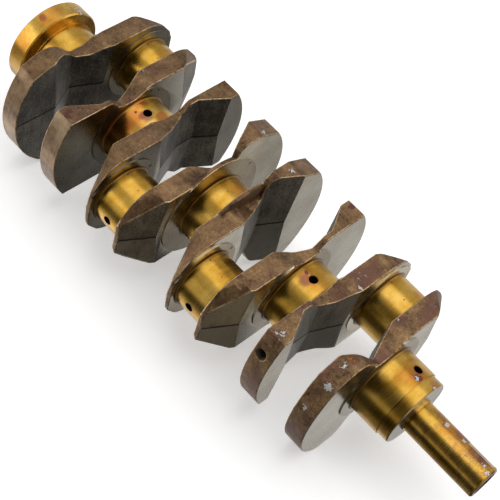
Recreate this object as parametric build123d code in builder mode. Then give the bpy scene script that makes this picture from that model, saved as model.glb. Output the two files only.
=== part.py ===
from build123d import *
import os
from math import radians, sin, cos, sqrt

# Fully counterweighted crankshaft of an in-line four-cylinder petrol engine.
# Frame: +X along the main axis from the flywheel flange to the nose, +Y towards
# the outer crankpins (1 and 4), +Z up. The origin is on the main axis, in the
# rear face of the flywheel flange. All sizes are millimetres.

# ---- driving dimensions ---------------------------------------------------------
bore_spacing = 88.0
throw = 46.5                      # half the stroke
main_radius = 28.0
pin_radius = 23.75
main_5_x = 27.5                   # middle of the rearmost main journal
journal_fillet = 1.8

# distances t along the shaft from the middle of a web's own main journal
main_shoulder_t = 12.4            # shoulder ring beside the main bearing
main_face_t = 13.3                # machined face on the main bearing side
pin_face_t = 29.8                 # machined face on the big end side
pin_shoulder_t = 30.5             # shoulder ring beside the big end
pocket_floor_t = 20.0             # forged relief between counterweight and crankpin
main_shoulder_radius = 37.0
thrust_shoulder_radius = 44.8     # thrust faces on both sides of main journal 3
thrust_ring_t = 16.0              # back of the thrust ring, where it stands out of the waist
pin_shoulder_radius = 31.5

# distances v in a web's section, from the main axis towards its crankpin
weight_radius = 72.4              # rim of the counterweights, about the main axis
tip_reach = 75.3
tip_corner_radius = 28.0
cheek_half_width = 37.3
bevel_v = 50.8                    # start of the forged bevel on the web's tip
bevel_slope = 0.53
bevel_draft = 0.08                # the two halves fall away from the parting plane
corner_facet = (-0.523, 0.668, 0.533)  # slanted facets on the tip: normal along t, v and up
corner_facet_distance = 44.2           # from the middle of the main journal
pocket_draft = 0.052
pocket_inner_v = 9.5
pocket_floor_inner_v = -15.0
square_pocket_v = (-49.0, -31.0)  # edge and floor of the relief, square counterweights
wide_pocket_v = (-36.0, -16.5)    # the same for the wide counterweights
cut_overrun = 6.2                 # forged slopes run on this far past the web's faces

gear_seat_radius = 27.0
gear_seat_length = 9.5
nose_ring_radius = 13.6
nose_ring_length = 1.8
nose_groove_radius = 12.2
nose_groove_length = 1.2
nose_radius = 13.0
nose_length = 62.0
nose_chamfer = 1.2
nose_flat_start = 36.7            # from the rear end of the nose
nose_flat_length = 22.0
nose_flat_depth = 0.8
nose_flat_angle = 43.0            # from +Y towards +Z
nose_thread_radius = 5.25         # tapped M12
nose_thread_depth = 34.0
nose_centre_radius = 9.8

flange_radius = 36.4
flange_thickness = 15.0
flange_chamfer = 1.0
rear_collar_radius = 29.5
rear_collar_length = 3.5
bolt_circle_radius = 26.0
bolt_count = 6
bolt_hole_radius = 4.25           # tapped M10
bolt_hole_depth = 12.5
pilot_radius = 11.0
pilot_depth = 11.0
mouth_chamfer = 0.8

oil_radius = 2.6
oil_mouth_radius = 3.4
oil_mouth_depth = 1.2
oil_feed = {1: 1, 2: 2, 3: 4, 4: 5}              # crankpin: the main journal that feeds it
oil_web = {1: 1, 2: 3, 3: 6, 4: 8}               # crankpin: the web that is drilled
oil_angle = {1: 71.0, 2: 91.0, 4: 91.0, 5: 290.0}  # main journal: drilling, from +Y to +Z
oil_shift = {1: 4.7, 2: 0.0, 4: 0.0, 5: 0.0}     # main journal: drilling, from its middle
balance_web = 2
balance_radius = 4.2
balance_depth = 12.0
balance_t = 20.1
balance_angle = 161.0             # from +Y towards +Z

journal_count = 5
pin_count = 4
web_count = 8
thrust_webs = (4, 5)
fan_webs = (1, 8)                 # rounded wide counterweights at the two ends
far = 120.0                       # more than the reach of any web

os.makedirs("parts", exist_ok=True)


# ---- stations along the shaft -----------------------------------------------------
def main_x(number):
    return main_5_x + bore_spacing * (journal_count - number)


def pin_x(number):
    return main_x(number) - bore_spacing / 2


def pin_side(number):
    """+1 for the two outer crankpins, -1 for the two inner ones."""
    return 1 if number in (1, pin_count) else -1


def web_pin(web):
    return (web + 1) // 2


def web_main(web):
    return web // 2 + 1


def web_run(web):
    """Direction along X from a web's main journal to its crankpin."""
    return -1 if web % 2 else 1


def web_side(web):
    return pin_side(web_pin(web))


def web_plane(web, t):
    """Cross section of a web: local x is v, local y is up."""
    x = main_x(web_main(web)) + web_run(web) * t
    side = web_side(web)
    return Plane(origin=(x, 0, 0), x_dir=(0, side, 0), z_dir=(side, 0, 0))


def thicken(web, length):
    """Extrude the pending cross section of a web towards its crankpin."""
    extrude(amount=length * web_run(web) * web_side(web))


def throw_plane(web):
    """Long section of a web in the parting plane: local x is v, local y is t."""
    side = web_side(web)
    return Plane(
        origin=(main_x(web_main(web)), 0, 0),
        x_dir=(0, side, 0),
        z_dir=(0, 0, -side * web_run(web)),
    )


def finish(part, name):
    part.label = name
    export_step(part, f"parts/{name}.step")


# ---- oil drillings ------------------------------------------------------------------
# A main journal is drilled radially to its axis. A slanting drilling runs from the
# outside of the crankpin through one web to that same point.
def oil_start(pin):
    return Vector(pin_x(pin), pin_side(pin) * (throw + pin_radius), 0)


def oil_end(pin):
    main = oil_feed[pin]
    return Vector(main_x(main) + oil_shift[main], 0, 0)


def drill(point, direction, length, radius):
    with BuildSketch(Plane(origin=point, z_dir=direction)) as hole:
        Circle(radius)
    extrude(hole.sketch, amount=length, mode=Mode.SUBTRACT)


def drill_slant(pin):
    start = oil_start(pin)
    run = oil_end(pin) - start
    run_out = run.normalized() * (2 * oil_mouth_radius)
    drill(start - run_out, run, run.length + run_out.length, oil_radius)


def countersink_oil(point, inward):
    with BuildSketch(Plane(origin=point, z_dir=inward)) as mouth:
        Circle(oil_mouth_radius)
    extrude(mouth.sketch, amount=oil_mouth_depth, taper=34, mode=Mode.SUBTRACT)


# ---- journals -------------------------------------------------------------------------
def turned_journal(rear, front, axis_y, radius, fillet_rear=True, fillet_front=True):
    """Half section of a journal, revolved, flaring into its shoulders by the fillet."""
    flare = radius + journal_fillet
    rear_in = rear + journal_fillet if fillet_rear else rear
    front_in = front - journal_fillet if fillet_front else front
    half_plane = Plane(origin=(0, axis_y, 0), x_dir=(1, 0, 0), z_dir=(0, 0, 1))
    with BuildSketch(half_plane) as half_section:
        with BuildLine():
            Line((rear, 0), (front, 0))
            Line((rear_in, radius), (front_in, radius))
            if fillet_rear:
                Line((rear, 0), (rear, flare))
                centre = (rear_in, flare)
                CenterArc(centre, journal_fillet, 180, 90)
            else:
                Line((rear, 0), (rear, radius))
            if fillet_front:
                Line((front, 0), (front, flare))
                centre = (front_in, flare)
                CenterArc(centre, journal_fillet, 270, 90)
            else:
                Line((front, 0), (front, radius))
        make_face()
    revolve(half_section.sketch, axis=Axis((0, axis_y, 0), (1, 0, 0)))


for number in range(1, journal_count + 1):
    middle = main_x(number)
    rear_end = middle - main_shoulder_t
    if number == journal_count:
        rear_end = flange_thickness + rear_collar_length
    with BuildPart() as main_journal:
        turned_journal(
            rear_end, middle + main_shoulder_t, 0, main_radius,
            fillet_rear=number < journal_count,
            fillet_front=number > 1,
        )
        if number in oil_angle:
            angle = radians(oil_angle[number])
            outward = Vector(0, cos(angle), sin(angle))
            centre = Vector(middle + oil_shift[number], 0, 0)
            drill(centre, outward, 2 * main_radius, oil_radius)
            countersink_oil(centre + outward * main_radius, outward * -1)
        for pin in oil_feed:
            if oil_feed[pin] == number:
                drill_slant(pin)
    finish(main_journal.part, f"main_journal_{number}")

for number in range(1, pin_count + 1):
    middle = pin_x(number)
    half_length = bore_spacing / 2 - pin_shoulder_t
    with BuildPart() as rod_journal:
        turned_journal(
            middle - half_length, middle + half_length, pin_side(number) * throw, pin_radius
        )
        drill_slant(number)
        countersink_oil(oil_start(number), Vector(0, -pin_side(number), 0))
    finish(rod_journal.part, f"rod_journal_{number}")


# ---- webs ---------------------------------------------------------------------------------
def rim_point(height):
    return (-sqrt(weight_radius ** 2 - height ** 2), height)


def outline_side(sign, corners, radii, rim_height):
    """One side of a web's outline, from the middle of its tip to the counterweight's rim."""
    cheek = [(tip_reach, 0), (tip_reach, cheek_half_width), (12, cheek_half_width), (-2, 31)]
    path = [(v, sign * w) for v, w in cheek + corners] + [rim_point(sign * rim_height)]
    FilletPolyline(*path, radius=[tip_corner_radius, 20, 10] + radii)
    return path[-1]


def web_outline(web):
    """Outline of a web; the counterweight is square, wide or a rounded fan."""
    with BuildLine() as outline:
        if web in fan_webs:
            upper = outline_side(1, [(-13, 31), (-34.3, 52.3)], [6, 20], 43)
            lower = outline_side(-1, [(-12, 31), (-22, 58.5), (-41, 58.5)], [5, 9, 5], 55)
        elif web in thrust_webs:
            upper = outline_side(
                1, [(-13, 31), (-19, 47), (-24, 51), (-40, 51)], [5, 3, 3, 9], 41
            )
            lower = outline_side(-1, [(-13, 31), (-23, 52), (-46, 52)], [5, 5, 8], 50)
        else:
            square = [(-14, 31), (-24, 40)]
            upper = outline_side(1, square, [8, 5], 40)
            lower = outline_side(-1, square, [8, 5], 40)
        ThreePointArc(upper, (-weight_radius, 0), lower)
    make_face(outline.edges())


def drafted_cut(web, outline, draft):
    """Cut a long-section outline out of both halves of a web, sheared by the draft."""
    with BuildSketch(throw_plane(web)) as section:
        with BuildLine():
            Polyline(*outline, close=True)
        make_face()
    for half in (1, -1):
        lean = Vector(web_run(web) * draft, 0, half).normalized()
        extrude(section.sketch, amount=far, dir=lean, mode=Mode.SUBTRACT)


def facet_cut(web):
    """Cut the two slanted facets off the corners of a web's tip."""
    along_t, along_v, up = corner_facet
    middle = Vector(main_x(web_main(web)), 0, 0)
    for half in (1, -1):
        outward = Vector(web_run(web) * along_t, web_side(web) * along_v, half * up).normalized()
        facet = Plane(origin=middle + outward * corner_facet_distance, z_dir=outward)
        with BuildSketch(facet) as section:
            Rectangle(2 * far, 2 * far)
        extrude(section.sketch, amount=far, mode=Mode.SUBTRACT)


for number in range(1, web_count + 1):
    shoulder_radius = thrust_shoulder_radius if number in thrust_webs else main_shoulder_radius
    edge_v, floor_v = (
        wide_pocket_v if number in thrust_webs + fan_webs else square_pocket_v
    )
    # slopes of the relief's two walls, v per t, and the level where they are let run out
    outer_slope = (edge_v - floor_v) / (pin_face_t - pocket_floor_t)
    inner_slope = (pocket_inner_v - pocket_floor_inner_v) / (pin_face_t - pocket_floor_t)
    relief_top_t = pin_face_t + cut_overrun
    with BuildPart() as web_part:
        with BuildSketch(web_plane(number, main_face_t)):
            web_outline(number)
        thicken(number, pin_face_t - main_face_t)
        # forged bevel on the tip, where the web clears the bearing saddle
        drafted_cut(
            number,
            [(bevel_v - cut_overrun / bevel_slope, main_face_t - cut_overrun),
             (far, main_face_t + bevel_slope * (far - bevel_v)),
             (far, -far),
             (bevel_v - cut_overrun / bevel_slope, -far)],
            bevel_draft,
        )
        facet_cut(number)
        # forged relief between the counterweight and the crankpin
        drafted_cut(
            number,
            [(edge_v + cut_overrun * outer_slope, relief_top_t),
             (floor_v, pocket_floor_t),
             (pocket_floor_inner_v, pocket_floor_t),
             (pocket_inner_v + cut_overrun * inner_slope, relief_top_t),
             (pocket_inner_v + cut_overrun * inner_slope, far),
             (edge_v + cut_overrun * outer_slope, far)],
            -pocket_draft,
        )
        # machined shoulder rings beside the bearings
        with BuildSketch(web_plane(number, main_shoulder_t)):
            if number in thrust_webs:
                Circle(shoulder_radius)
            else:
                web_outline(number)
                Circle(shoulder_radius, mode=Mode.INTERSECT)
        ring_back_t = thrust_ring_t if number in thrust_webs else main_face_t
        thicken(number, ring_back_t - main_shoulder_t)
        with BuildSketch(web_plane(number, pin_face_t)):
            web_outline(number)
            with Locations((throw, 0)):
                Circle(pin_shoulder_radius, mode=Mode.INTERSECT)
        thicken(number, pin_shoulder_t - pin_face_t)
        for pin in oil_web:
            if oil_web[pin] == number:
                drill_slant(pin)
        if number == balance_web:
            angle = radians(balance_angle)
            outward = Vector(0, cos(angle), sin(angle))
            hole_x = main_x(web_main(number)) + web_run(number) * balance_t
            mouth = Vector(hole_x, 0, 0) + outward * (weight_radius + 5)
            drill(mouth, outward * -1, balance_depth + 5, balance_radius)
    finish(web_part.part, f"web_{number}")


# ---- flywheel end ---------------------------------------------------------------------------
with BuildPart() as flywheel_flange:
    with BuildSketch(Plane.YZ):
        Circle(flange_radius)
    extrude(amount=flange_thickness)
    rims = flywheel_flange.edges().filter_by(GeomType.CIRCLE)
    chamfer(rims, length=flange_chamfer)
    with BuildSketch(Plane.YZ):
        with PolarLocations(bolt_circle_radius, bolt_count, start_angle=30):
            Circle(bolt_hole_radius)
    extrude(amount=bolt_hole_depth, mode=Mode.SUBTRACT)
    with BuildSketch(Plane.YZ):
        Circle(pilot_radius)
    extrude(amount=pilot_depth, mode=Mode.SUBTRACT)
    mouths = flywheel_flange.edges().filter_by(GeomType.CIRCLE).group_by(Axis.X)[0]
    chamfer(mouths.filter_by(lambda e: abs(e.radius - pilot_radius) < 1), length=mouth_chamfer)
finish(flywheel_flange.part, "flywheel_flange")

with BuildPart() as rear_collar:
    with BuildSketch(Plane.YZ.offset(flange_thickness)):
        Circle(rear_collar_radius)
    extrude(amount=rear_collar_length)
finish(rear_collar.part, "rear_collar")


# ---- nose ---------------------------------------------------------------------------------------
gear_seat_rear = main_x(1) + main_shoulder_t
ring_rear = gear_seat_rear + gear_seat_length
nose_rear = ring_rear + nose_ring_length
nose_front = nose_rear + nose_length

with BuildPart() as gear_seat:
    with BuildSketch(Plane.YZ.offset(gear_seat_rear)):
        Circle(gear_seat_radius)
    extrude(amount=gear_seat_length)
    chamfer(gear_seat.edges().group_by(Axis.X)[-1], length=0.8)
finish(gear_seat.part, "gear_seat")

with BuildPart() as nose_ring:
    with BuildSketch(Plane.YZ.offset(ring_rear)):
        Circle(nose_ring_radius)
    extrude(amount=nose_ring_length)
finish(nose_ring.part, "nose_ring")

with BuildPart() as nose:
    with BuildSketch(Plane.YZ.offset(nose_rear)):
        Circle(nose_groove_radius)
    extrude(amount=nose_groove_length)
    with BuildSketch(Plane.YZ.offset(nose_rear + nose_groove_length)):
        Circle(nose_radius)
    extrude(amount=nose_length - nose_groove_length)
    chamfer(nose.edges().group_by(Axis.X)[-1], length=nose_chamfer)
    # centre hole: countersink, then the tapped hole for the pulley bolt
    with BuildSketch(Plane.YZ.offset(nose_front)):
        Circle(nose_thread_radius)
    extrude(amount=-nose_thread_depth, mode=Mode.SUBTRACT)
    inner = nose.edges().filter_by(GeomType.CIRCLE).group_by(Axis.X)[-1]
    chamfer(
        inner.filter_by(lambda e: e.radius < nose_centre_radius),
        length=nose_centre_radius - nose_thread_radius,
    )
    # shallow milled flat
    angle = radians(nose_flat_angle)
    outward = Vector(0, cos(angle), sin(angle))
    flat_middle = Vector(nose_rear + nose_flat_start + nose_flat_length / 2, 0, 0)
    flat_middle = flat_middle + outward * (nose_radius - nose_flat_depth)
    with BuildSketch(Plane(origin=flat_middle, x_dir=(1, 0, 0), z_dir=outward)):
        Rectangle(nose_flat_length, nose_radius)
    extrude(amount=2 * nose_flat_depth, mode=Mode.SUBTRACT)
finish(nose.part, "nose")

print("overall length", nose_front, "nodes", journal_count + pin_count + web_count + 5)
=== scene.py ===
# %% [markdown]
# # A forged four-cylinder crankshaft
# The shaft is one steel forging. Its bearings are ground bright and carry a thin
# golden film of preserving oil, its webs keep the brown skin of the forging hammer,
# and the faces beside the bearings are turned flat and grey.
# The measured model comes in as a fixed frame. Parts whose shape is already right
# keep it and only get a finish; the webs are rebuilt with softened edges.

# %% Load the fixed frame
import math

import bmesh
import bpy
from mathutils import Matrix, Vector


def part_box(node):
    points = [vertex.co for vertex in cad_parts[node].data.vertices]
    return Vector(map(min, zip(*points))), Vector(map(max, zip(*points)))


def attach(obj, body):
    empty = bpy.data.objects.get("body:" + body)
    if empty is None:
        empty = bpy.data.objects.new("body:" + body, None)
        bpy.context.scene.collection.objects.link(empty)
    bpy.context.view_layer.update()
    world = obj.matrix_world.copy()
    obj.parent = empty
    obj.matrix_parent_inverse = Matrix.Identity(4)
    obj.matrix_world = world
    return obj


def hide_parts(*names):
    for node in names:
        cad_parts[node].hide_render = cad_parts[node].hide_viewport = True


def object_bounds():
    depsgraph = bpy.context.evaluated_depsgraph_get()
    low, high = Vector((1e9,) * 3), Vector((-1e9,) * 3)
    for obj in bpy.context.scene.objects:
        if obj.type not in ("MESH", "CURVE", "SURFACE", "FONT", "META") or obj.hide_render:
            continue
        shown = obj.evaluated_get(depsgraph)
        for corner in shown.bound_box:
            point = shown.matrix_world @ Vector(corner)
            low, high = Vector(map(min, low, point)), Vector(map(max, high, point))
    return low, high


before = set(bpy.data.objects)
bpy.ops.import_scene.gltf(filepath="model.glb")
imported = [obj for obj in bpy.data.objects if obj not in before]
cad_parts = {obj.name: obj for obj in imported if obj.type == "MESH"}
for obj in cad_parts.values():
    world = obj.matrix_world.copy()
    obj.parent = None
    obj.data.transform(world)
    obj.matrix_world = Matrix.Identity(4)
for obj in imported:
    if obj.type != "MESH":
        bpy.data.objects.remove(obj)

MM = 0.001
cad_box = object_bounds()
scene = bpy.context.scene
print("loaded", len(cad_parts), "nodes, box", cad_box)

# %% [markdown]
# ## Where things are
# The main stations are read from the frame: the middle of each journal along
# the shaft, and which side of the main axis its crankpin lies on. Working from these
# numbers keeps the looks in step with the measured model.

# %% Stations along the shaft
PIN_NUMBERS = (1, 2, 3, 4)
WEB_NUMBERS = (1, 2, 3, 4, 5, 6, 7, 8)


def middle(node):
    low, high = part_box(node)
    return (low + high) / 2


pin_middle = {n: middle(f"rod_journal_{n}") for n in PIN_NUMBERS}
half_spacing = (pin_middle[1].x - pin_middle[2].x) / 2
main_x = {n + 1: pin_middle[n].x - half_spacing for n in PIN_NUMBERS}
main_x[1] = pin_middle[1].x + half_spacing
for number, x in sorted(main_x.items()):
    print(f"main journal {number} at {x / MM:.1f} mm")

# %% [markdown]
# ## Shader maths as plain sums
# A finish is a small sum over the surface: this much rust where that noise is high.
# Blender does such sums with Math nodes. The class below wraps a node's output, so
# that `rust * 0.5 + 0.1` adds those nodes by itself and the finish reads as a sum.

# %% A value that does its own maths


class Value:
    """One number that varies over a surface."""

    def __init__(self, finish, socket):
        self.finish = finish
        self.socket = socket

    def maths(self, operation, first, second):
        return self.finish.add(
            "ShaderNodeMath", {"operation": operation}, {0: first, 1: second}
        )

    def __add__(self, other):
        return self.maths("ADD", self, other)

    __radd__ = __add__

    def __sub__(self, other):
        return self.maths("SUBTRACT", self, other)

    def __rsub__(self, other):
        return self.maths("SUBTRACT", other, self)

    def __mul__(self, other):
        return self.maths("MULTIPLY", self, other)

    __rmul__ = __mul__

    def __pow__(self, other):
        return self.maths("POWER", self, other)

    def __abs__(self):
        return self.maths("ABSOLUTE", self, 0.0)

    def most(self, other):
        return self.maths("MAXIMUM", self, other)

    def least(self, other):
        return self.maths("MINIMUM", self, other)

    def rise(self, start, end):
        """0 before start, 1 past end, with a soft ramp between; start may be the larger."""
        return self.finish.add(
            "ShaderNodeMapRange",
            {"interpolation_type": "SMOOTHSTEP"},
            {"Value": self, "From Min": start, "From Max": end},
        )


print("values can be added, multiplied and compared")

# %% [markdown]
# ## A finish, built node by node
# Each material starts from the same Principled shader. One method adds any node: its
# settings go in first, then the values or links of its sockets. The rest are short
# names for the steps that every finish takes, from a ramp of colours to the bumps.

# %% The finish class


class Finish:
    """A material while it is being mixed."""

    def __init__(self, name, metallic):
        self.material = bpy.data.materials.new(name)
        self.material.use_nodes = True
        self.tree = self.material.node_tree
        self.shader = self.tree.nodes["Principled BSDF"]
        self.shader.inputs["Metallic"].default_value = metallic
        self.place = self.add("ShaderNodeTexCoord", {}, {}, "Object")

    def add(self, kind, settings, sockets, out=0):
        """Add a node; a ramp's stops are a setting, and tuples fill colours or vectors."""
        node = self.tree.nodes.new(kind)
        for name, setting in settings.items():
            if name == "stops":
                ramp = node.color_ramp.elements
                while len(ramp) < len(setting):
                    ramp.new(0.5)
                for element, (position, colour) in zip(ramp, setting):
                    element.position = position
                    element.color = (*colour, 1.0)
            else:
                setattr(node, name, setting)
        for name, value in sockets.items():
            if isinstance(value, Value):
                self.tree.links.new(value.socket, node.inputs[name])
            elif isinstance(value, tuple) and node.inputs[name].type == "RGBA":
                node.inputs[name].default_value = (*value, 1.0)
            else:
                node.inputs[name].default_value = value
        return Value(self, node.outputs[out])

    def axes(self):
        """x, y and z of the surface point, in metres."""
        split = self.add("ShaderNodeSeparateXYZ", {}, {0: self.place})
        outputs = split.socket.node.outputs
        return [Value(self, outputs[axis]) for axis in "XYZ"]

    def measure(self, operation, other):
        """A number from the surface point and a fixed point or direction."""
        return self.add(
            "ShaderNodeVectorMath",
            {"operation": operation},
            {0: self.place, 1: other},
            "Value",
        )

    def ramp(self, value, stops):
        return self.add("ShaderNodeValToRGB", {"stops": stops}, {"Fac": value}, "Color")

    def blend(self, mask, under, over):
        """Lay colour over on colour under where mask is 1."""
        return self.add(
            "ShaderNodeMix", {"data_type": "RGBA"}, {0: mask, 6: under, 7: over}, 2
        )

    def bump(self, height_mm, strength=1.0):
        """Feed a height in millimetres to the shader's normal."""
        normal = self.add(
            "ShaderNodeBump",
            {},
            {"Strength": strength, "Distance": MM, "Height": height_mm},
            "Normal",
        )
        self.feed(Normal=normal)

    def feed(self, **sockets):
        """Link values to the shader's sockets; what is the same all over is set there."""
        for name, value in sockets.items():
            target = self.shader.inputs[name.replace("_", " ")]
            if isinstance(value, Value):
                self.tree.links.new(value.socket, target)
            elif isinstance(value, tuple):
                target.default_value = (*value, 1.0)
            else:
                target.default_value = value


print("a finish can be mixed")

# %% [markdown]
# ## Patterns that worked steel shows
# Steel needs only a few patterns. Noise at several sizes makes clouds, streaks and
# grit, and a noise stretched along one axis makes the lines of a tool. Scattered
# points make pits, and a ball round a point makes one spot at a known place. A scar
# is such a ball torn by noise, because a knock flakes the skin off and leaves no
# round edge.

# %% Clouds, pits, spots and scars
SCAR_SHARE = 0.55                 # how much a scar's middle outweighs its ragged noise
SCAR_EDGE = (0.44, 0.52)
SCAR_REACH = (0.04, 0.22)


class Patterned(Finish):
    """A finish with the patterns of worked steel; sizes are in millimetres."""

    def scaled(self, size_mm, shift, stretch=(1, 1, 1)):
        """The surface point in units of size_mm, moved by shift."""
        scale = tuple(s / (size_mm * MM) for s in stretch)
        return self.add(
            "ShaderNodeMapping",
            {},
            {"Vector": self.place, "Scale": scale, "Location": (shift, shift, shift)},
        )

    def noise(self, size_mm, detail=3.0, stretch=(1, 1, 1), shift=0.0, rough=0.55):
        """Cloudy noise from 0 to 1 whose blobs are about size_mm across."""
        moved = self.scaled(size_mm, shift, stretch)
        return self.add(
            "ShaderNodeTexNoise",
            {},
            {"Vector": moved, "Scale": 1.0, "Detail": detail, "Roughness": rough},
            "Fac",
        )

    def grains(self, size_mm, shift=0.0):
        """Distance to the nearest of many scattered points."""
        moved = self.scaled(size_mm, shift)
        return self.add(
            "ShaderNodeTexVoronoi", {}, {"Vector": moved, "Scale": 1.0}, "Distance"
        )

    def spot(self, centre_mm, radius_mm, wobble=None, sharp=0.45):
        """1 at a point, fading to 0 at about radius_mm, with an edge that may wobble."""
        distance = self.measure("DISTANCE", tuple(c * MM for c in centre_mm))
        if wobble is not None:
            distance = distance + (wobble - 0.5) * (radius_mm * MM)
        return distance.rise(radius_mm * MM, radius_mm * MM * sharp)

    def scar(self, centre_mm, radius_mm, ragged):
        """A patch torn to flakes by a ragged noise about zero, dense in its middle."""
        near = self.spot(centre_mm, radius_mm, sharp=0.0)
        return (near * SCAR_SHARE + ragged).rise(*SCAR_EDGE) * near.rise(*SCAR_REACH)


print("patterns for steel are ready")

# %% [markdown]
# ## Ground steel under a golden film
# Bearings are ground and polished, then dipped in preserving oil that dries to an
# amber lacquer. Three things make it: a metal whose colour is the film's gold, hair
# lines that run round the journal from the grinding wheel, and darker oil that
# crept to the fillets.

# %% Colours of the film and its marks
GOLD_PALE = (0.66, 0.415, 0.092)
GOLD = (0.52, 0.292, 0.040)
GOLD_DEEP = (0.32, 0.158, 0.021)
TARNISH = (0.20, 0.085, 0.030)
OIL_BROWN = (0.11, 0.055, 0.016)
HEAT_ORANGE = (0.46, 0.15, 0.03)
HEAT_PURPLE = (0.14, 0.04, 0.05)
BARE_STEEL = (0.56, 0.54, 0.51)
# painted shade: black for the inside of holes and for dents
PAINTED_SHADE_BLACK = (0.012, 0.009, 0.007)
RUST = (0.42, 0.15, 0.03)
FILM_STOPS = [(0.36, GOLD_DEEP), (0.48, GOLD), (0.62, GOLD_PALE)]
CLEAN_STOPS = [(0.38, (0.50, 0.45, 0.38)), (0.60, (0.72, 0.68, 0.62))]
print("film colours run from", GOLD_DEEP, "to", GOLD_PALE)

# %% The film itself
FILM_GLOSS = 0.15                 # roughness of the clean film
OIL_REACH = (3.4 * MM, 0.2 * MM)  # oil starts this far from a fillet, and is full here
OIL_WANDER = 4 * MM
RIM_OF_SCAR = 0.14                # widens a scar's threshold, for the dark rim round it


class Film(Patterned):
    """Ground steel and its film, while the marks are laid on it."""

    def __init__(self, name, shift):
        super().__init__(name, 1.0)
        self.cloud = self.noise(22, 4, shift=shift)
        self.streak = self.noise(5, 3, stretch=(1.0, 0.25, 0.25), shift=shift + 3)
        self.lines = self.noise(0.45, 2, stretch=(1.0, 0.02, 0.02), shift=shift)
        self.specks = self.noise(1.6, 3, shift=shift + 7)
        self.grit = self.noise(4.5, 4, stretch=(0.6, 1.0, 1.0), shift=shift + 5, rough=0.7)
        mixed = self.cloud * 0.62 + self.streak * 0.26 + self.lines * 0.12
        self.colour = self.ramp(mixed, FILM_STOPS)
        self.rough = FILM_GLOSS + self.lines * 0.12 + self.cloud * 0.08
        self.height = self.lines * 0.010 + self.specks * 0.004
        self.along = self.axes()[0]

    def lay(self, mask, colour, share=1.0, rougher=0.0):
        """Lay a colour over the film where mask is 1, and roughen it there."""
        cover = mask * share if share < 1 else mask
        self.colour = self.blend(cover, self.colour, colour)
        if rougher:
            self.rough = self.rough + mask * rougher

    def creep(self, low, high):
        """Dark oil along the two fillets of a journal, at low and high."""
        from_end = (self.along - low * MM).least(high * MM - self.along)
        crept = from_end + (self.streak - 0.5) * OIL_WANDER
        self.lay(crept.rise(*OIL_REACH), OIL_BROWN, 0.80, rougher=0.10)

    def chip(self, chips):
        """Knocks that took the film off, each with a burnt rim."""
        ragged = (self.specks - 0.5) * 1.5 + (self.grit - 0.5) * 2.2
        bare, burnt = None, None
        for centre, radius in chips:
            one = self.scar(centre, radius, ragged)
            rim = self.scar(centre, radius, ragged + RIM_OF_SCAR)
            bare = one if bare is None else bare.most(one)
            burnt = rim if burnt is None else burnt.most(rim)
        self.lay(burnt, HEAT_PURPLE, 0.7)
        self.lay(bare, BARE_STEEL, rougher=0.22)
        self.height = self.height - bare * 0.06


print("the film can take oil, tints and chips")

# %% [markdown]
# ## Marks on the film
# Heat tints, dark spots and small bright chips are laid over the gold, each at its
# own place, because no two journals look the same. A drilled hole is a real hole in
# the shape; its mouth and inside are also painted black as shade.

# %% The golden film
CLEAN_EDGE = 0.15                 # millimetres from full film to bare end face
MOUTH_SHARP = 0.93


def golden_film(
    name,
    ends=None,
    tints=(),
    spots=(),
    chips=(),
    mouths=(),
    bare_from=None,
    tarnish=0.15,
    shift=0.0,
):
    """Ground steel with its film; ends are the x of a journal's two fillets in mm.

    Mouths are drilled holes, painted black inside as shade; past bare_from the steel has no
    film.
    """
    film = Film(name, shift)
    stain = (film.streak * 0.5 + film.grit * 0.5).rise(0.47, 0.62)
    film.lay(stain, TARNISH, tarnish)
    if ends:
        film.creep(*ends)
    for centre, radius, tint, share in tints:
        film.lay(film.spot(centre, radius, film.streak), tint, share)
    for centre, radius in spots:
        film.lay(film.spot(centre, radius, film.specks), HEAT_PURPLE, 0.9, rougher=0.15)
    flecks = film.specks.rise(0.70, 0.76) * film.cloud.rise(0.52, 0.62)
    film.lay(flecks, HEAT_ORANGE, 0.5)
    if chips:
        film.chip(chips)
    if bare_from is not None:
        clean = film.along.rise(bare_from * MM, (bare_from + CLEAN_EDGE) * MM)
        film.lay(clean, film.ramp(film.cloud, CLEAN_STOPS), 0.9, rougher=0.08)
    for centre, radius in mouths:
        film.lay(film.spot(centre, radius * 1.5, film.specks), HEAT_PURPLE, 0.5)
        # painted shade: the hole's mouth and inside are painted black
        hole = film.spot(centre, radius, sharp=MOUTH_SHARP)
        film.lay(hole, PAINTED_SHADE_BLACK, rougher=0.3)
    film.feed(Base_Color=film.colour, Roughness=film.rough)
    film.bump(film.height, 0.6)
    return film.material


print("the golden film is ready to be mixed for each journal")

# %% [markdown]
# ## Where the marks are
# These nodes already have their exact shape: cylinders, fillets, drilled oil holes
# and the stepped nose. Each only swaps its plain material for a film of its own. A
# mark is given by how far along the shaft it is and how far round, as a fitter would
# point to it, and the helper turns that into a place.

# %% A point on a ground cylinder
MAIN_RADIUS = 28                  # these are all in millimetres
PIN_RADIUS = 23.75
FLANGE_RADIUS = 36.4
SEAT_RADIUS = 27
NOSE_RADIUS = 13
MAIN_HALF = 12.4                  # half a journal's length, up to its fillets
PIN_HALF = 13.5
OIL_MOUTH = 3.5                   # just past the countersink
main_mm = {n: x / MM for n, x in main_x.items()}
pin_mm = {n: p.x / MM for n, p in pin_middle.items()}
pin_y_mm = {n: p.y / MM for n, p in pin_middle.items()}


def on_round(x, angle, radius, axis_y=0.0):
    """A point on a cylinder along X: angle in degrees from +Y towards +Z."""
    turn = math.radians(angle)
    return (x, axis_y + radius * math.cos(turn), radius * math.sin(turn))


def on_main(number, along, angle):
    """A point on a main journal, along from its middle."""
    return on_round(main_mm[number] + along, angle, MAIN_RADIUS)


print("top of main journal 3:", on_main(3, 0, 90))

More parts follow.
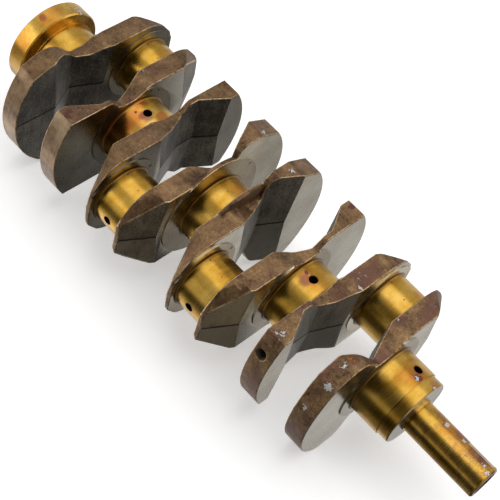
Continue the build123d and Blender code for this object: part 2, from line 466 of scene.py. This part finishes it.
# %% Marks on the main journals
low_1, high_1 = (v.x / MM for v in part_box("main_journal_1"))
low_5, high_5 = (v.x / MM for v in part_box("main_journal_5"))
journal_marks = {
    "main_journal_1": dict(
        ends=(low_1, high_1 + 9),
        tints=[
            (on_main(1, 5, 84), 15.0, HEAT_ORANGE, 0.30),
            (on_main(1, 7, 84), 8.0, HEAT_ORANGE, 0.6),
            (on_main(1, 9, 82), 3.5, HEAT_PURPLE, 0.8),
        ],
        chips=[(on_main(1, 8.4, 84), 5.5)],
        mouths=[(on_main(1, 4.7, 71), OIL_MOUTH)],
    ),
    "main_journal_2": dict(
        ends=(main_mm[2] - MAIN_HALF, main_mm[2] + MAIN_HALF),
        tints=[
            (on_main(2, -3, 100), 7.0, HEAT_PURPLE, 0.75),
            (on_main(2, 2, 88), 13.0, HEAT_ORANGE, 0.25),
        ],
        spots=[(on_main(2, -7.3, 91), 2.2)],
        mouths=[(on_main(2, 0, 91), OIL_MOUTH)],
    ),
    "main_journal_3": dict(
        ends=(main_mm[3] - MAIN_HALF, main_mm[3] + MAIN_HALF),
        tints=[(on_main(3, 2, 72), 9.0, HEAT_ORANGE, 0.35)],
        spots=[(on_main(3, -2, 88), 0.8)],
    ),
    "main_journal_4": dict(
        ends=(main_mm[4] - MAIN_HALF, main_mm[4] + MAIN_HALF),
        tints=[
            (on_main(4, -3, 112), 12.0, HEAT_ORANGE, 0.8),
            (on_main(4, 2, 96), 6.5, HEAT_PURPLE, 0.7),
            (on_main(4, 8, 75), 8.0, HEAT_ORANGE, 0.8),
            (on_main(4, -2, 148), 17.0, HEAT_ORANGE, 0.75),
            (on_main(4, -10, 90), 7.0, HEAT_ORANGE, 0.7),
        ],
        spots=[(on_main(4, -6, 104), 1.5)],
        mouths=[(on_main(4, 0, 91), OIL_MOUTH)],
    ),
    "main_journal_5": dict(ends=(low_5 - 3.5, high_5)),
}
print("marks are listed for", len(journal_marks), "main journals")

# %% Marks on the crankpins
for number in PIN_NUMBERS:
    x, y = pin_mm[number], pin_y_mm[number]
    outside = 0 if y > 0 else 180
    journal_marks[f"rod_journal_{number}"] = dict(
        ends=(x - PIN_HALF, x + PIN_HALF),
        tints=[(on_round(x + 9, 60, PIN_RADIUS, y), 8.0, HEAT_ORANGE, 0.35)],
        spots=[
            (on_round(x - 10.7, 89, PIN_RADIUS, y), 0.9),
            (on_round(x + 4, 96, PIN_RADIUS, y), 0.7),
        ],
        mouths=[(on_round(x, outside, PIN_RADIUS, y), OIL_MOUTH)],
    )
print("oil mouths of the crankpins are on the outside, away from the main axis")

# %% Marks on the flange and the front collar
seat_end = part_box("gear_seat")[1].x / MM
journal_marks["flywheel_flange"] = dict(
    tints=[
        (on_round(5, 108, FLANGE_RADIUS), 4.5, HEAT_PURPLE, 0.85),
        (on_round(7, 100, FLANGE_RADIUS), 14.0, HEAT_ORANGE, 0.4),
        (on_round(5, 150, FLANGE_RADIUS), 12.0, HEAT_ORANGE, 0.35),
        (on_round(8, 182, FLANGE_RADIUS), 16.0, OIL_BROWN, 0.45),
    ],
    chips=[(on_round(12, 62, FLANGE_RADIUS), 8.0), (on_round(14, 45, FLANGE_RADIUS), 6.0)],
    tarnish=0.35,
)
journal_marks["rear_collar"] = dict(ends=(9, 27))
journal_marks["gear_seat"] = dict(
    bare_from=seat_end - 0.3,
    chips=[
        (on_round(seat_end - 1, 72, SEAT_RADIUS), 4.0),
        (on_round(seat_end - 4, 60, SEAT_RADIUS), 3.0),
    ],
    tints=[(on_round(seat_end - 2, 66, SEAT_RADIUS), 6.0, HEAT_ORANGE, 0.5)],
)
journal_marks["nose_ring"] = dict()
print("the front collar ends at", round(seat_end, 1), "mm, with a bare face")

# %% Marks on the nose
# painted shade: the nose's bore is painted black round points at these depths
NOSE_MOUTH = 9.6
NOSE_DEPTHS = (0.0, -9.0, -18.0, -27.0)
nose_low, nose_high = (v.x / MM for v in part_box("nose"))


def on_nose(along, angle):
    """A point on the nose, along from its root."""
    return on_round(nose_low + along, angle, NOSE_RADIUS)


journal_marks["nose"] = dict(
    bare_from=nose_high - 0.25,
    mouths=[((nose_high + depth, 0, 0), NOSE_MOUTH) for depth in NOSE_DEPTHS],
    ends=(nose_low - 2, nose_high + 20),
    tints=[
        (on_nose(46, 68), 9.0, HEAT_PURPLE, 0.65),
        (on_nose(52, 66), 7.0, HEAT_PURPLE, 0.6),
        (on_nose(22, 66), 12.0, HEAT_ORANGE, 0.5),
        (on_nose(30, 58), 8.0, HEAT_PURPLE, 0.6),
        (on_nose(12, 58), 7.0, HEAT_PURPLE, 0.4),
        (on_nose(36, 86), 11.0, HEAT_ORANGE, 0.35),
    ],
    chips=[
        (on_nose(18, 76), 6.0),
        (on_nose(54, 84), 4.5),
        (on_nose(59, 92), 5.0),
        (on_nose(34, 70), 3.5),
        (on_nose(42, 104), 2.0),
    ],
    tarnish=0.55,
)
print("the nose is", round(nose_high - nose_low, 1), "mm long")

# %% Dress the ground parts
FILM_STEP = 1.7                   # moves the clouds on, so that no two films match


def dress(node, material):
    """Give every slot of a frame node one material."""
    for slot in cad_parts[node].material_slots:
        slot.material = material


for count, (node, marks) in enumerate(journal_marks.items()):
    dress(node, golden_film(f"film_{node}", shift=FILM_STEP * count, **marks))
print("dressed", len(journal_marks), "ground parts")

# %% [markdown]
# ## Brown forged skin
# The webs came from the hammer red hot. Scale flaked off and left a brown, slightly
# coppery skin with fine pits. Two webs near the nose kept more of the red scale. The
# skin is noise at four sizes, and its bumps come from the same noise as its colour,
# so that every dark pit is also a hollow.

# %% Forged skin
SKIN_TAN = (0.34, 0.205, 0.095)
SKIN_BROWN = (0.175, 0.100, 0.046)
SKIN_DARK = (0.050, 0.029, 0.017)
SKIN_RED = (0.150, 0.068, 0.050)
SKIN_STOPS = [(0.38, SKIN_DARK), (0.48, SKIN_BROWN), (0.61, SKIN_TAN)]
FLANGE_SHADE_RUN = (0.178, 0.150)         # metres along the shaft; past it, towards the flange, shade is painted darker


def forged_skin(name, red, bare, scars, shift=0.0):
    """Hammered skin; red is its share of red scale, bare the share of bright patches.

    Scars are knocks from handling: place, radius and colour.
    """
    skin = Patterned(name, 0.8)
    along = skin.axes()[0]
    cloud = skin.noise(15, 4, shift=shift)
    patch = skin.noise(24, 3, shift=shift + 9)
    grit = skin.noise(1.5, 4, shift=shift, rough=0.7)
    dimples = skin.noise(4.0, 3, shift=shift + 4)
    colour = skin.ramp(cloud * 0.40 + grit * 0.34 + dimples * 0.26, SKIN_STOPS)
    colour = skin.blend(patch.rise(0.46, 0.60) * red, colour, SKIN_RED)
    # painted shade: the skin grows darker towards the flange end
    colour = skin.blend(along.rise(*FLANGE_SHADE_RUN) * 0.22, colour, SKIN_DARK)
    pit = skin.grains(1.2).rise(0.34, 0.14) * dimples.rise(0.42, 0.58)
    colour = skin.blend(pit * 0.8, colour, SKIN_DARK)
    flaked = (grit * 0.5 + dimples * 0.3 + patch * 0.4).rise(0.72, 0.77)
    colour = skin.blend(flaked * bare, colour, BARE_STEEL)
    ragged = (grit - 0.5) * 1.6 + (dimples - 0.5) * 2.2
    torn = None
    for centre, radius, tint in scars:
        scar = skin.scar(centre, radius, ragged)
        edge = skin.scar(centre, radius, ragged + RIM_OF_SCAR)
        colour = skin.blend(edge * 0.7, colour, SKIN_DARK)
        colour = skin.blend(scar * 0.9, colour, tint)
        torn = scar if torn is None else torn.most(scar)
    skin.feed(Base_Color=colour, Roughness=0.32 + grit * 0.30)
    height = grit * 0.30 + dimples * 0.34 - pit * 0.16 + cloud * 0.20
    skin.bump(height - torn * 0.25, 0.9)
    return skin.material


print("skin colours run from", SKIN_DARK, "to", SKIN_TAN)

# %% Two forged skins and their knocks
BROWN_SCARS = [                   # x, y and z in millimetres, then radius and colour
    ((88.5, 15, 37), 4.5, BARE_STEEL),
    ((98.2, -29.4, 36), 5.0, BARE_STEEL),
    ((127.7, -11.3, 33), 5.0, HEAT_PURPLE),
    ((91.4, -56.9, 40), 8.0, HEAT_PURPLE),
    ((187.2, 46.5, 50), 6.5, BARE_STEEL),
    ((224.9, 35.5, 50), 5.5, BARE_STEEL),
    ((267.2, 57.4, 40), 6.0, HEAT_PURPLE),
]
RED_SCARS = [
    ((318.6, 15.8, 37), 4.5, BARE_STEEL),
    ((353.3, 19.0, 37), 5.0, BARE_STEEL),
    ((313.5, -56.9, 38), 7.5, BARE_STEEL),
    ((306.4, -25.4, 34), 4.0, BARE_STEEL),
    ((356.5, -37, 48), 8.5, RUST),
    ((357.5, -43.8, 48), 6.0, BARE_STEEL),
    ((360.7, -58.8, 42), 6.0, BARE_STEEL),
    ((356.0, -70.8, 20), 4.0, BARE_STEEL),
]
brown_skin = forged_skin("forged_skin", red=0.25, bare=0.25, scars=BROWN_SCARS)
red_skin = forged_skin("forged_skin_red", red=0.8, bare=0.8, scars=RED_SCARS, shift=3.3)
print("forged skins with", len(BROWN_SCARS), "and", len(RED_SCARS), "knocks")

# %% [markdown]
# ## Turned rims and faces
# Counterweights are turned once round their rims, and flat where a bearing runs
# beside them. A lathe leaves fine rings about the main axis: on the rims these are
# lines round the shaft, and on the faces a noise that depends only on the distance
# from the axis draws them. The faces are bright steel, stained brown next to the
# journals. A few small spots are painted black as the shade of a dent, and towards
# the flange end the faces are painted darker as shade.

# %% Turned rim
RIM_DARK = (0.11, 0.067, 0.040)
RIM_BROWN = (0.25, 0.160, 0.090)
RIM_TAN = (0.39, 0.285, 0.175)
RIM_STOPS = [(0.38, RIM_DARK), (0.5, RIM_BROWN), (0.62, RIM_TAN)]


def turned_rim():
    rim = Patterned("turned_rim", 0.9)
    cloud = rim.noise(18, 4, shift=4)
    lines = rim.noise(0.6, 2, stretch=(1.0, 0.03, 0.03))
    grit = rim.noise(2.0, 3)
    colour = rim.ramp(cloud * 0.7 + lines * 0.2 + grit * 0.1, RIM_STOPS)
    nick = (grit * 0.7 + cloud * 0.4).rise(0.74, 0.78)
    colour = rim.blend(nick * 0.6, colour, BARE_STEEL)
    rim.feed(Base_Color=colour, Roughness=0.30 + lines * 0.12 + cloud * 0.08)
    rim.bump(lines * 0.03 + grit * 0.02, 0.6)
    return rim.material


print("rim colours run from", RIM_DARK, "to", RIM_TAN)

# %% Turned faces
TURNED_GREY = (0.60, 0.545, 0.44)
TURNED_BROWN = (0.40, 0.34, 0.24)
RING_BROWN = (0.26, 0.185, 0.105)
RING_TAN = (0.48, 0.38, 0.23)
RING_PALE = (0.70, 0.62, 0.47)
# black of the die scale on the relief; on the turned faces it is painted shade
SCALE_AND_SHADE_BLACK = (0.050, 0.043, 0.034)
RINGS_PER_METRE = 1100.0
# spots painted black as the shade of a dent; no dent is in the shape
FACE_DENT_SHADES = [((278.2, 28.1, 22.0), 1.6), ((278.2, 61.8, -22.3), 0.9)]
MAIN_RING_DENT_SHADES = [
    ((191.1, 33.0, 26.2), 1.8),
    ((103.1, 12.9, 32.6), 1.4),
    ((103.1, 20.2, 28.7), 1.4),
]
PIN_RING_DENT_SHADES = [((234.0, -21.6, 15.1), 1.8), ((146.0, -21.4, 13.6), 1.8)]


def turned_face(name, dark, pale, dent_shades=()):
    """Turned flat, rings from the tool about the main axis; painted shade at each dent and
    towards the flange.
    """
    face = Patterned(name, 1.0)
    along, y, z = face.axes()
    from_axis = (y * y + z * z) ** 0.5
    cloud = face.noise(30, 3, shift=2)
    smear = face.noise(7, 3, shift=5)
    rings = face.add(
        "ShaderNodeTexNoise",
        {"noise_dimensions": "1D"},
        {"W": from_axis, "Scale": RINGS_PER_METRE, "Detail": 2.0},
        "Fac",
    )
    mixed = cloud * 0.7 + smear * 0.2 + rings * 0.1
    colour = face.ramp(mixed, [(0.36, dark), (0.58, pale)])
    # painted shade: the turned faces grow darker towards the flange end
    colour = face.blend(along.rise(*FLANGE_SHADE_RUN) * 0.52, colour, SCALE_AND_SHADE_BLACK)
    ragged = face.noise(1.5, 2, shift=8)
    for centre, radius in dent_shades:
        # painted shade: a black spot for each dent
        colour = face.blend(face.spot(centre, radius, ragged), colour, PAINTED_SHADE_BLACK)
    face.feed(Base_Color=colour, Roughness=0.20 + rings * 0.10 + smear * 0.05)
    face.bump(rings * 0.015, 0.4)
    return face.material


print("turned faces get", len(FACE_DENT_SHADES + MAIN_RING_DENT_SHADES + PIN_RING_DENT_SHADES), "dent_shades")

# %% [markdown]
# ## Black relief, a painted seam and worn edges
# The relief between counterweight and crankpin is as it left the die: nearly black,
# with fine streaks along the way the die drew. Below the seam and towards the nose its
# colour is lighter, as painted light. Where the two die halves met, a groove is pressed
# in and its line is painted black as its shade. The edges next to it rub against
# everything, so they are worn back to tan and bright steel, and they are painted
# lighter as a highlight too.

# %% Die relief
SCALE_GREY = (0.24, 0.216, 0.176)
TIP_DARK = (0.085, 0.066, 0.042)
TIP_OLIVE = (0.24, 0.19, 0.12)
# painted shade: the black of the seam line over its groove
SEAM_SHADE_BLACK = (0.006, 0.005, 0.004)
SEAM_WANDER = 2.2 * MM
SEAM_FADE = (1.2 * MM, 0.6 * MM)  # half the seam's width, to where it starts and is full
# painted light: below the seam the relief is lighter
LIT_LOWER_HALF = (0.4 * MM, -0.4 * MM)
NOSE_LIGHT_RUN = (0.14, 0.30)        # metres along the shaft; over it the relief is painted lighter towards the nose


def die_relief(name, dark, pale):
    """Black scale, dark where thick, pale where thin; painted light below the seam and towards
    the nose.
    """
    relief = Patterned(name, 0.65)
    along, _, z = relief.axes()
    drawn = relief.noise(1.3, 3, stretch=(1.0, 1.0, 0.12))
    scraped = relief.noise(5.0, 3, stretch=(1.0, 1.0, 0.25), shift=6)
    grit = relief.noise(1.7, 4, rough=0.72)
    cloud = relief.noise(18, 3)
    wander = relief.noise(7, 3, shift=11)
    seam = abs(z + (wander - 0.5) * SEAM_WANDER).rise(*SEAM_FADE)
    mixed = cloud * 0.26 + drawn * 0.16 + scraped * 0.16 + grit * 0.42
    # painted light: lighter below the seam and towards the nose, so darker at the flange end
    mixed = mixed + z.rise(*LIT_LOWER_HALF) * 0.06 + along.rise(*NOSE_LIGHT_RUN) * 0.13 - 0.04
    colour = relief.ramp(mixed, [(0.42, dark), (0.60, pale)])
    # painted shade: the seam line is painted black over its pressed groove
    colour = relief.blend(seam * 0.9, colour, SEAM_SHADE_BLACK)
    relief.feed(Base_Color=colour, Roughness=0.34 + grit * 0.24)
    relief.bump(drawn * 0.12 + scraped * 0.14 + grit * 0.30 - seam * 0.20, 0.9)
    return relief.material


print("the seam is", 2 * SEAM_FADE[0] / MM, "mm wide at most")

# %% Worn edge, painted lighter as a highlight
# partly wear, partly a painted highlight: the soft edges are coloured lighter tan
EDGE_TAN = (0.54, 0.38, 0.22)
EDGE_STOPS = [(0.40, SKIN_BROWN), (0.58, EDGE_TAN)]


def worn_highlit_edge():
    edge = Patterned("worn_highlit_edge", 0.9)
    grit = edge.noise(2.2, 4)
    cloud = edge.noise(14, 2)
    colour = edge.ramp(grit * 0.6 + cloud * 0.4, EDGE_STOPS)
    nick = (grit * 0.6 + cloud * 0.5).rise(0.70, 0.75)
    colour = edge.blend(nick * 0.7, colour, BARE_STEEL)
    edge.feed(Base_Color=colour, Roughness=0.32 + grit * 0.15)
    edge.bump(grit * 0.10, 0.6)
    return edge.material


print("edges are worn back to", EDGE_TAN)

# %% All finishes of a web
web_finishes = {
    "skin": brown_skin,
    "red skin": red_skin,
    "rim": turned_rim(),
    "turned": turned_face("turned_face", TURNED_BROWN, TURNED_GREY, FACE_DENT_SHADES),
    "main ring": turned_face("turned_main_ring", RING_BROWN, TURNED_BROWN, MAIN_RING_DENT_SHADES),
    "pin ring": turned_face("turned_pin_ring", RING_TAN, RING_PALE, PIN_RING_DENT_SHADES),
    "relief": die_relief("die_relief", SCALE_AND_SHADE_BLACK, SCALE_GREY),
    "tip": die_relief("die_relief_tip", TIP_DARK, TIP_OLIVE),
    "edge": worn_highlit_edge(),
}
finish_index = {name: i for i, name in enumerate(web_finishes)}
print("web finishes:", ", ".join(web_finishes))

# %% [markdown]
# ## Which tool left which face
# A web's faces look different because different tools made them, so each face is
# given its finish by its shape alone. Faces square to the shaft were turned, and so
# was what lies at the rim's radius; slopes belong to the die, and all the rest is
# forged skin. The exceptions are told by place: the two end webs keep a flat that was
# never turned, the thrust rings have a forged back, and the red webs a forged rim.

# %% Sort the faces of a web
RIM_RADIUS = min(abs(corner.y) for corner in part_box("web_1"))
FLAT_TOLERANCE = 0.03 * MM
ROUND_TOLERANCE = 0.05 * MM
RIM_BAND = 0.3 * MM
FILLET_WIDTH = 1.0 * MM
RELIEF_REACH = 0.5                # the relief ends this share of the way to the pin
SLOPE_LEAST = 0.15                # how much of a slope's normal points along the shaft
TIP_FLATNESS = 0.3                # and how much of a tip's normal points up, at most
RED_WEBS = (1, 2)
FORGED_FLAT_WEBS = (1, 8)
LEVELS = (                        # distance from the middle of the main journal
    (16.0 * MM, None),
    (12.4 * MM, "main ring"),
    (30.5 * MM, "pin ring"),
)


def flat_made_by(x, number, pin, skin, beyond_axis):
    """The finish of a face square to the shaft, told from its place along the web."""
    from_main = abs(x - main_x[number // 2 + 1])
    for level, kind in LEVELS:
        if abs(from_main - level) < FLAT_TOLERANCE:
            return kind or skin
    pin_side = abs(x - pin.x) < from_main
    if number in FORGED_FLAT_WEBS and pin_side and beyond_axis:
        return "relief"
    return "turned"


def made_by(face, number, pin):
    """Which operation left this face on the forging."""
    skin = "red skin" if number in RED_WEBS else "skin"
    xs = [v.co.x for v in face.verts]
    width = max(xs) - min(xs)
    radii = [math.hypot(v.co.y, v.co.z) for v in face.verts]
    pin_radii = [math.hypot(v.co.y - pin.y, v.co.z) for v in face.verts]
    centre = face.calc_center_median()
    beyond_axis = centre.y * pin.y < 0
    if width < FLAT_TOLERANCE:
        return flat_made_by(xs[0], number, pin, skin, beyond_axis)
    if abs(face.normal.x) > SLOPE_LEAST:
        if beyond_axis or abs(centre.y) < RELIEF_REACH * abs(pin.y):
            return "relief"
        return skin if abs(face.normal.z) > TIP_FLATNESS else "tip"
    if min(radii) > RIM_RADIUS - RIM_BAND and beyond_axis and number not in RED_WEBS:
        return "rim"
    for reach in (radii, pin_radii):
        if max(reach) - min(reach) < ROUND_TOLERANCE and width < FILLET_WIDTH:
            return "turned"
    return skin


print("rims have a radius of", round(RIM_RADIUS / MM, 1), "mm")

# %% [markdown]
# ## The line where the die halves met
# Two die halves closed on the hot steel and left a line round every web at half its
# height. On the slopes it was never machined off. It is cut across those faces as a
# narrow strip, divided along its length, and the points on its middle line are
# sunk, so that the line is in the shape and also catches the light.

# %% Press the seam
SEAM_HALF = 0.6 * MM
SEAM_DEPTH = 0.32 * MM
SEAM_STEP = 2.5 * MM
ON_SEAM = 0.01 * MM
CUT_GAP = 0.001 * MM
seam_kinds = [finish_index[kind] for kind in ("relief", "tip")]


def cut(forging, place, normal, strip_only):
    """Cut the forged slopes by a plane, or only the seam's strip on them."""
    faces = [f for f in forging.faces if f.material_index in seam_kinds]
    if strip_only:
        faces = [f for f in faces if abs(f.calc_center_median().z) < SEAM_HALF]
    # A dict drops repeats and keeps the order, so that every run cuts the same way.
    edges = dict.fromkeys(e for f in faces for e in f.edges)
    verts = dict.fromkeys(v for f in faces for v in f.verts)
    bmesh.ops.bisect_plane(
        forging,
        geom=[*verts, *edges, *faces],
        dist=CUT_GAP,
        plane_co=place,
        plane_no=normal,
    )


def press_seam(forging):
    """Sink the line where the two die halves met into the forged slopes."""
    for height in (-SEAM_HALF, 0.0, SEAM_HALF):
        cut(forging, (0, 0, height), (0, 0, 1), strip_only=False)
    reach = cad_box[1][1]
    for step in range(int(2 * reach / SEAM_STEP)):
        cut(forging, (0, -reach + step * SEAM_STEP, 0), (0, 1, 0), strip_only=True)
    forging.normal_update()
    sunk = [
        v
        for v in forging.verts
        if abs(v.co.z) < ON_SEAM and all(f.material_index in seam_kinds for f in v.link_faces)
    ]
    for v in sunk:
        v.co -= v.normal * SEAM_DEPTH
    forging.normal_update()
    return len(sunk)


print("the seam is pressed", SEAM_DEPTH / MM, "mm deep")

# %% [markdown]
# ## Webs with softened edges
# A drawn web has knife edges; a forged and deburred one doesn't, and the light that
# runs along those soft edges is most of what makes it look heavy. Each web is
# copied, welded and cleaned to large flat faces. The faces are sorted by what made
# them, and only then are the edges between the skin and the other faces bevelled.
# Weighted normals keep the large flats flat beside their soft edges.

# %% Soften the edges
EDGE_SOFTNESS = 0.7 * MM
SOFT_FROM = math.radians(20)      # edges that turn less than this stay as they are
SHARP_FROM = math.radians(28)
FLAT_WITHIN = math.radians(0.5)
WELD_GAP = 0.002 * MM
outer_kinds = {finish_index[kind] for kind in ("skin", "red skin", "rim")}


def soft_edges(forging):
    """Edges where skin or rim meets another finish at an angle."""
    for edge in forging.edges:
        if len(edge.link_faces) != 2:
            continue
        kinds = {face.material_index for face in edge.link_faces}
        if kinds & outer_kinds and kinds - outer_kinds:
            if edge.calc_face_angle() > SOFT_FROM:
                yield edge


def soften(forging):
    """Bevel those edges, and shade the bevels and the outer faces smoothly."""
    edges = list(soft_edges(forging))
    result = bmesh.ops.bevel(
        forging,
        geom=edges,
        offset=EDGE_SOFTNESS,
        offset_type="OFFSET",
        segments=2,
        profile=0.5,
        affect="EDGES",
        clamp_overlap=False,
        material=-1,
    )
    for face in result["faces"]:
        face.material_index = finish_index["edge"]
        face.smooth = True
    for face in forging.faces:
        if face.material_index in outer_kinds:
            face.smooth = True
    return len(edges)


print("edges are softened by", EDGE_SOFTNESS / MM, "mm")

# %% Rebuild the webs


def soft_web(number):
    node = f"web_{number}"
    pin = pin_middle[(number + 1) // 2]
    forging = bmesh.new()
    forging.from_mesh(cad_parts[node].data)
    bmesh.ops.remove_doubles(forging, verts=forging.verts, dist=WELD_GAP)
    bmesh.ops.dissolve_limit(
        forging, angle_limit=FLAT_WITHIN, verts=forging.verts, edges=forging.edges
    )
    for face in forging.faces:
        face.material_index = finish_index[made_by(face, number, pin)]
        face.smooth = False
    softened = soften(forging)
    sunk = press_seam(forging)
    name = f"forged_web_{number}"
    mesh = bpy.data.meshes.new(name)
    forging.to_mesh(mesh)
    forging.free()
    for material in web_finishes.values():
        mesh.materials.append(material)
    mesh.set_sharp_from_angle(angle=SHARP_FROM)
    piece = bpy.data.objects.new(name, mesh)
    scene.collection.objects.link(piece)
    even = piece.modifiers.new("even_normals", "WEIGHTED_NORMAL")
    even.keep_sharp = True
    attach(piece, "root")
    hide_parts(node)
    print(name, len(mesh.polygons), "faces,", softened, "edges softened,", sunk, "seam points")


for number in WEB_NUMBERS:
    soft_web(number)

# %% [markdown]
# ## A pale floor
# The shaft lies above one plain sheet of white paper that runs out of sight. It
# glows a little, so that it stays white round the dark webs, and it is left out of
# reflections: what the steel mirrors is set by the room alone.

# %% Pale floor
FLOOR_HALF = 30.0
FLOOR_GLOW = 0.38
FLOOR_MIDDLE_X = 0.2
FLOOR_GAP = 0.2 * MM
PAPER_STOPS = [(0.3, (0.88, 0.88, 0.88)), (0.7, (0.92, 0.92, 0.92))]
floor_z = cad_box[0][2] - FLOOR_GAP
floor_mesh = bmesh.new()
bmesh.ops.create_grid(floor_mesh, x_segments=1, y_segments=1, size=FLOOR_HALF)
bmesh.ops.translate(floor_mesh, verts=floor_mesh.verts, vec=(FLOOR_MIDDLE_X, 0.0, floor_z))
mesh = bpy.data.meshes.new("floor")
floor_mesh.to_mesh(mesh)
floor_mesh.free()
floor = bpy.data.objects.new("floor", mesh)
scene.collection.objects.link(floor)
paper = Patterned("floor_paper", 0.0)
paper.feed(
    Base_Color=paper.ramp(paper.noise(120, 2), PAPER_STOPS),
    Roughness=0.85,
    Emission_Color=(1.0, 1.0, 1.0),
    Emission_Strength=FLOOR_GLOW,
)
mesh.materials.append(paper.material)
floor.visible_glossy = False
print("floor at", round(floor_z / MM, 1), "mm")

# %% [markdown]
# ## Soft lights
# Polished steel shows its surroundings more than itself, so the lights are planned
# from the reflections. A wide soft light overhead makes the bright band along every
# journal. One at the flange end lights the far half, and a dim one at the nose
# rounds off the near half. Each faces the middle of the shaft and is never rolled,
# because a rolled light would lay its band aslant across the journals.

# %% Lights
# Direction from the middle of the shaft, distance, length, breadth in metres, watts.
LIGHTS = {
    "overhead": ((0.02, 0.15, 1.0), 1.3, 2.2, 1.2, 7.8),
    "flange_side": ((-0.86, -0.78, 0.42), 1.5, 1.0, 1.0, 4.4),
    "nose_side": ((0.55, 0.95, 0.45), 1.6, 1.2, 0.8, 3.0),
}
shaft_middle = Vector(((cad_box[0][0] + cad_box[1][0]) / 2, 0.0, 0.0))


def soft_light(name, direction, distance, size, size_y, power):
    """A soft light that faces the middle of the shaft; size runs along it, size_y across."""
    light = bpy.data.lights.new(name, "AREA")
    light.shape = "RECTANGLE"
    light.size = size
    light.size_y = size_y
    light.energy = power
    lamp = bpy.data.objects.new(name, light)
    scene.collection.objects.link(lamp)
    away = Vector(direction).normalized()
    lamp.location = shaft_middle + away * distance
    across = Vector((0.0, 1.0, 0.0)).cross(away).normalized()
    stand = Matrix((across, away.cross(across), away)).transposed()
    lamp.rotation_euler = stand.to_euler()
    print(name, [round(c, 2) for c in lamp.location])


for name, plan in LIGHTS.items():
    soft_light(name, *plan)

# %% [markdown]
# ## The room round the shaft
# What isn't a light is the room, and the steel mirrors that too. Above, it is pale
# with one dark side behind the viewer, which makes the dark band beside the bright
# one on every journal. Below, turned faces mirror the far side of the room: dim
# towards the nose and bright straight across, so they grow lighter from the flange
# to the nose. The rims and the near side of the journals mirror a pale table.

# %% Room
DARK_SIDE = Vector((0.30, -0.75, 0.60)).normalized()
DARK_EDGE = math.cos(math.radians(41))
DARK_CORE = math.cos(math.radians(29))
LOW_LIGHT_WAY = (-1.3, 0.9, 0.0)
ABOVE_LIGHT = 0.68
ABOVE_DROP = 0.66                 # taken off on the dark side
HORIZON = (-0.12, 0.10)
DEEP_LIGHT = 0.03                 # straight down, where the least light comes from
FAR_LIGHT = 0.76
FAR_RUN = (-0.18, 0.20)           # from where that light starts to where it is full
TABLE_STARTS = (0.02, 0.26)
TABLE_ENDS = (0.86, 0.55)
TABLE_LIGHT = 0.14
TABLE_FAR_LIGHT = 0.80            # added towards the flange
TABLE_FAR_RUN = (-0.12, -0.45)


class Room(Finish):
    """The same helper, for the room's own light."""

    def __init__(self, world):
        self.tree = world.node_tree
        self.shader = self.tree.nodes["Background"]
        self.place = self.add("ShaderNodeTexCoord", {}, {}, "Generated")


world = bpy.data.worlds.new("room")
scene.world = world
world.use_nodes = True
room = Room(world)
facing = room.measure("DOT_PRODUCT", tuple(DARK_SIDE))
above = ABOVE_LIGHT - facing.rise(DARK_EDGE, DARK_CORE) * ABOVE_DROP
across = room.measure("DOT_PRODUCT", LOW_LIGHT_WAY)
towards_nose, towards_far, height = room.axes()
near_side = towards_far * -1.0
table = near_side.rise(*TABLE_STARTS) * near_side.rise(*TABLE_ENDS)
table_light = TABLE_LIGHT + towards_nose.rise(*TABLE_FAR_RUN) * TABLE_FAR_LIGHT
below = DEEP_LIGHT + across.rise(*FAR_RUN) * FAR_LIGHT + table * table_light
strength = below + (above - below) * height.rise(*HORIZON)
room.feed(Color=(1.0, 1.0, 1.0), Strength=strength)
print("the room's light is", len(room.tree.nodes), "nodes")

# %% [markdown]
# ## The camera
# The view is from above and in front of the nose, with the shaft running down
# towards the lower right corner of a square frame. Its place and its own right and
# up directions are given, and made exactly square to each other here.

# %% Camera
VIEW_PLACE = Vector((0.5189, -0.4685, 0.7257))
VIEW_RIGHT = Vector((0.6665, 0.7176, 0.2021))
VIEW_UP = Vector((-0.6777, 0.4703, 0.5653))
FRAME_WIDTH_MM = 36.0
LENS_MM = 91.9
NEAREST_SEEN = 0.05
camera_data = bpy.data.cameras.new("view")
camera_data.sensor_width = FRAME_WIDTH_MM
camera_data.lens = LENS_MM
camera_data.clip_start = NEAREST_SEEN
camera = bpy.data.objects.new("view", camera_data)
scene.collection.objects.link(camera)
right = VIEW_RIGHT.normalized()
back = right.cross(VIEW_UP).normalized()
up = back.cross(right)
turn = Matrix((right, up, back)).transposed().to_4x4()
camera.matrix_world = Matrix.Translation(VIEW_PLACE) @ turn
scene.camera = camera
scene.view_settings.view_transform = "Standard"
print("camera", [round(c, 3) for c in VIEW_PLACE])
